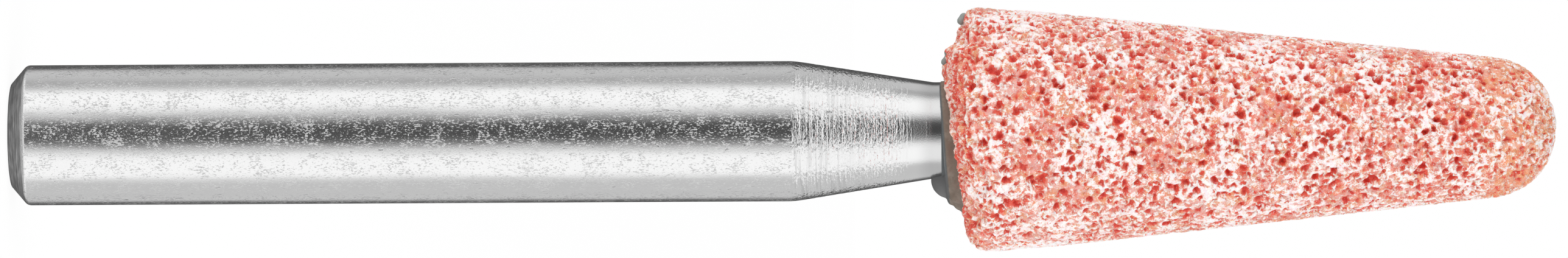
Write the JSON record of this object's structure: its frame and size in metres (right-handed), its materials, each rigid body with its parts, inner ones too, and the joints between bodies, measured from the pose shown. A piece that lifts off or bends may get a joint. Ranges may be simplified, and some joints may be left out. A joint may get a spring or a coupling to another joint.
{
  "type": "mounted point",
  "caption": "Tapered abrasive stone with a ball nose, cemented on a turned steel shank for a rotary grinder's collet.",
  "frame": {"origin": "centre of the shank's flat end face, on which the tool stands", "axes": "+Z along the tool's axis from the shank's end to the nose of the stone, +X towards the side where the cement has run out, +Y completes the right-handed frame"},
  "size_m": [0.0105, 0.0104, 0.0661],
  "materials": {
    "shank_steel": "ground straight, turned taper",
    "abrasive_stone": "coarse open-pored vitrified pink aluminium oxide grain",
    "bonding_cement": "cured run-out, smooth and slightly waxy"
  },
  "bodies": {
    "root": {"shank": "shank_steel", "grinding_head": "abrasive_stone", "cement": "bonding_cement"}
  },
  "joints": []
}
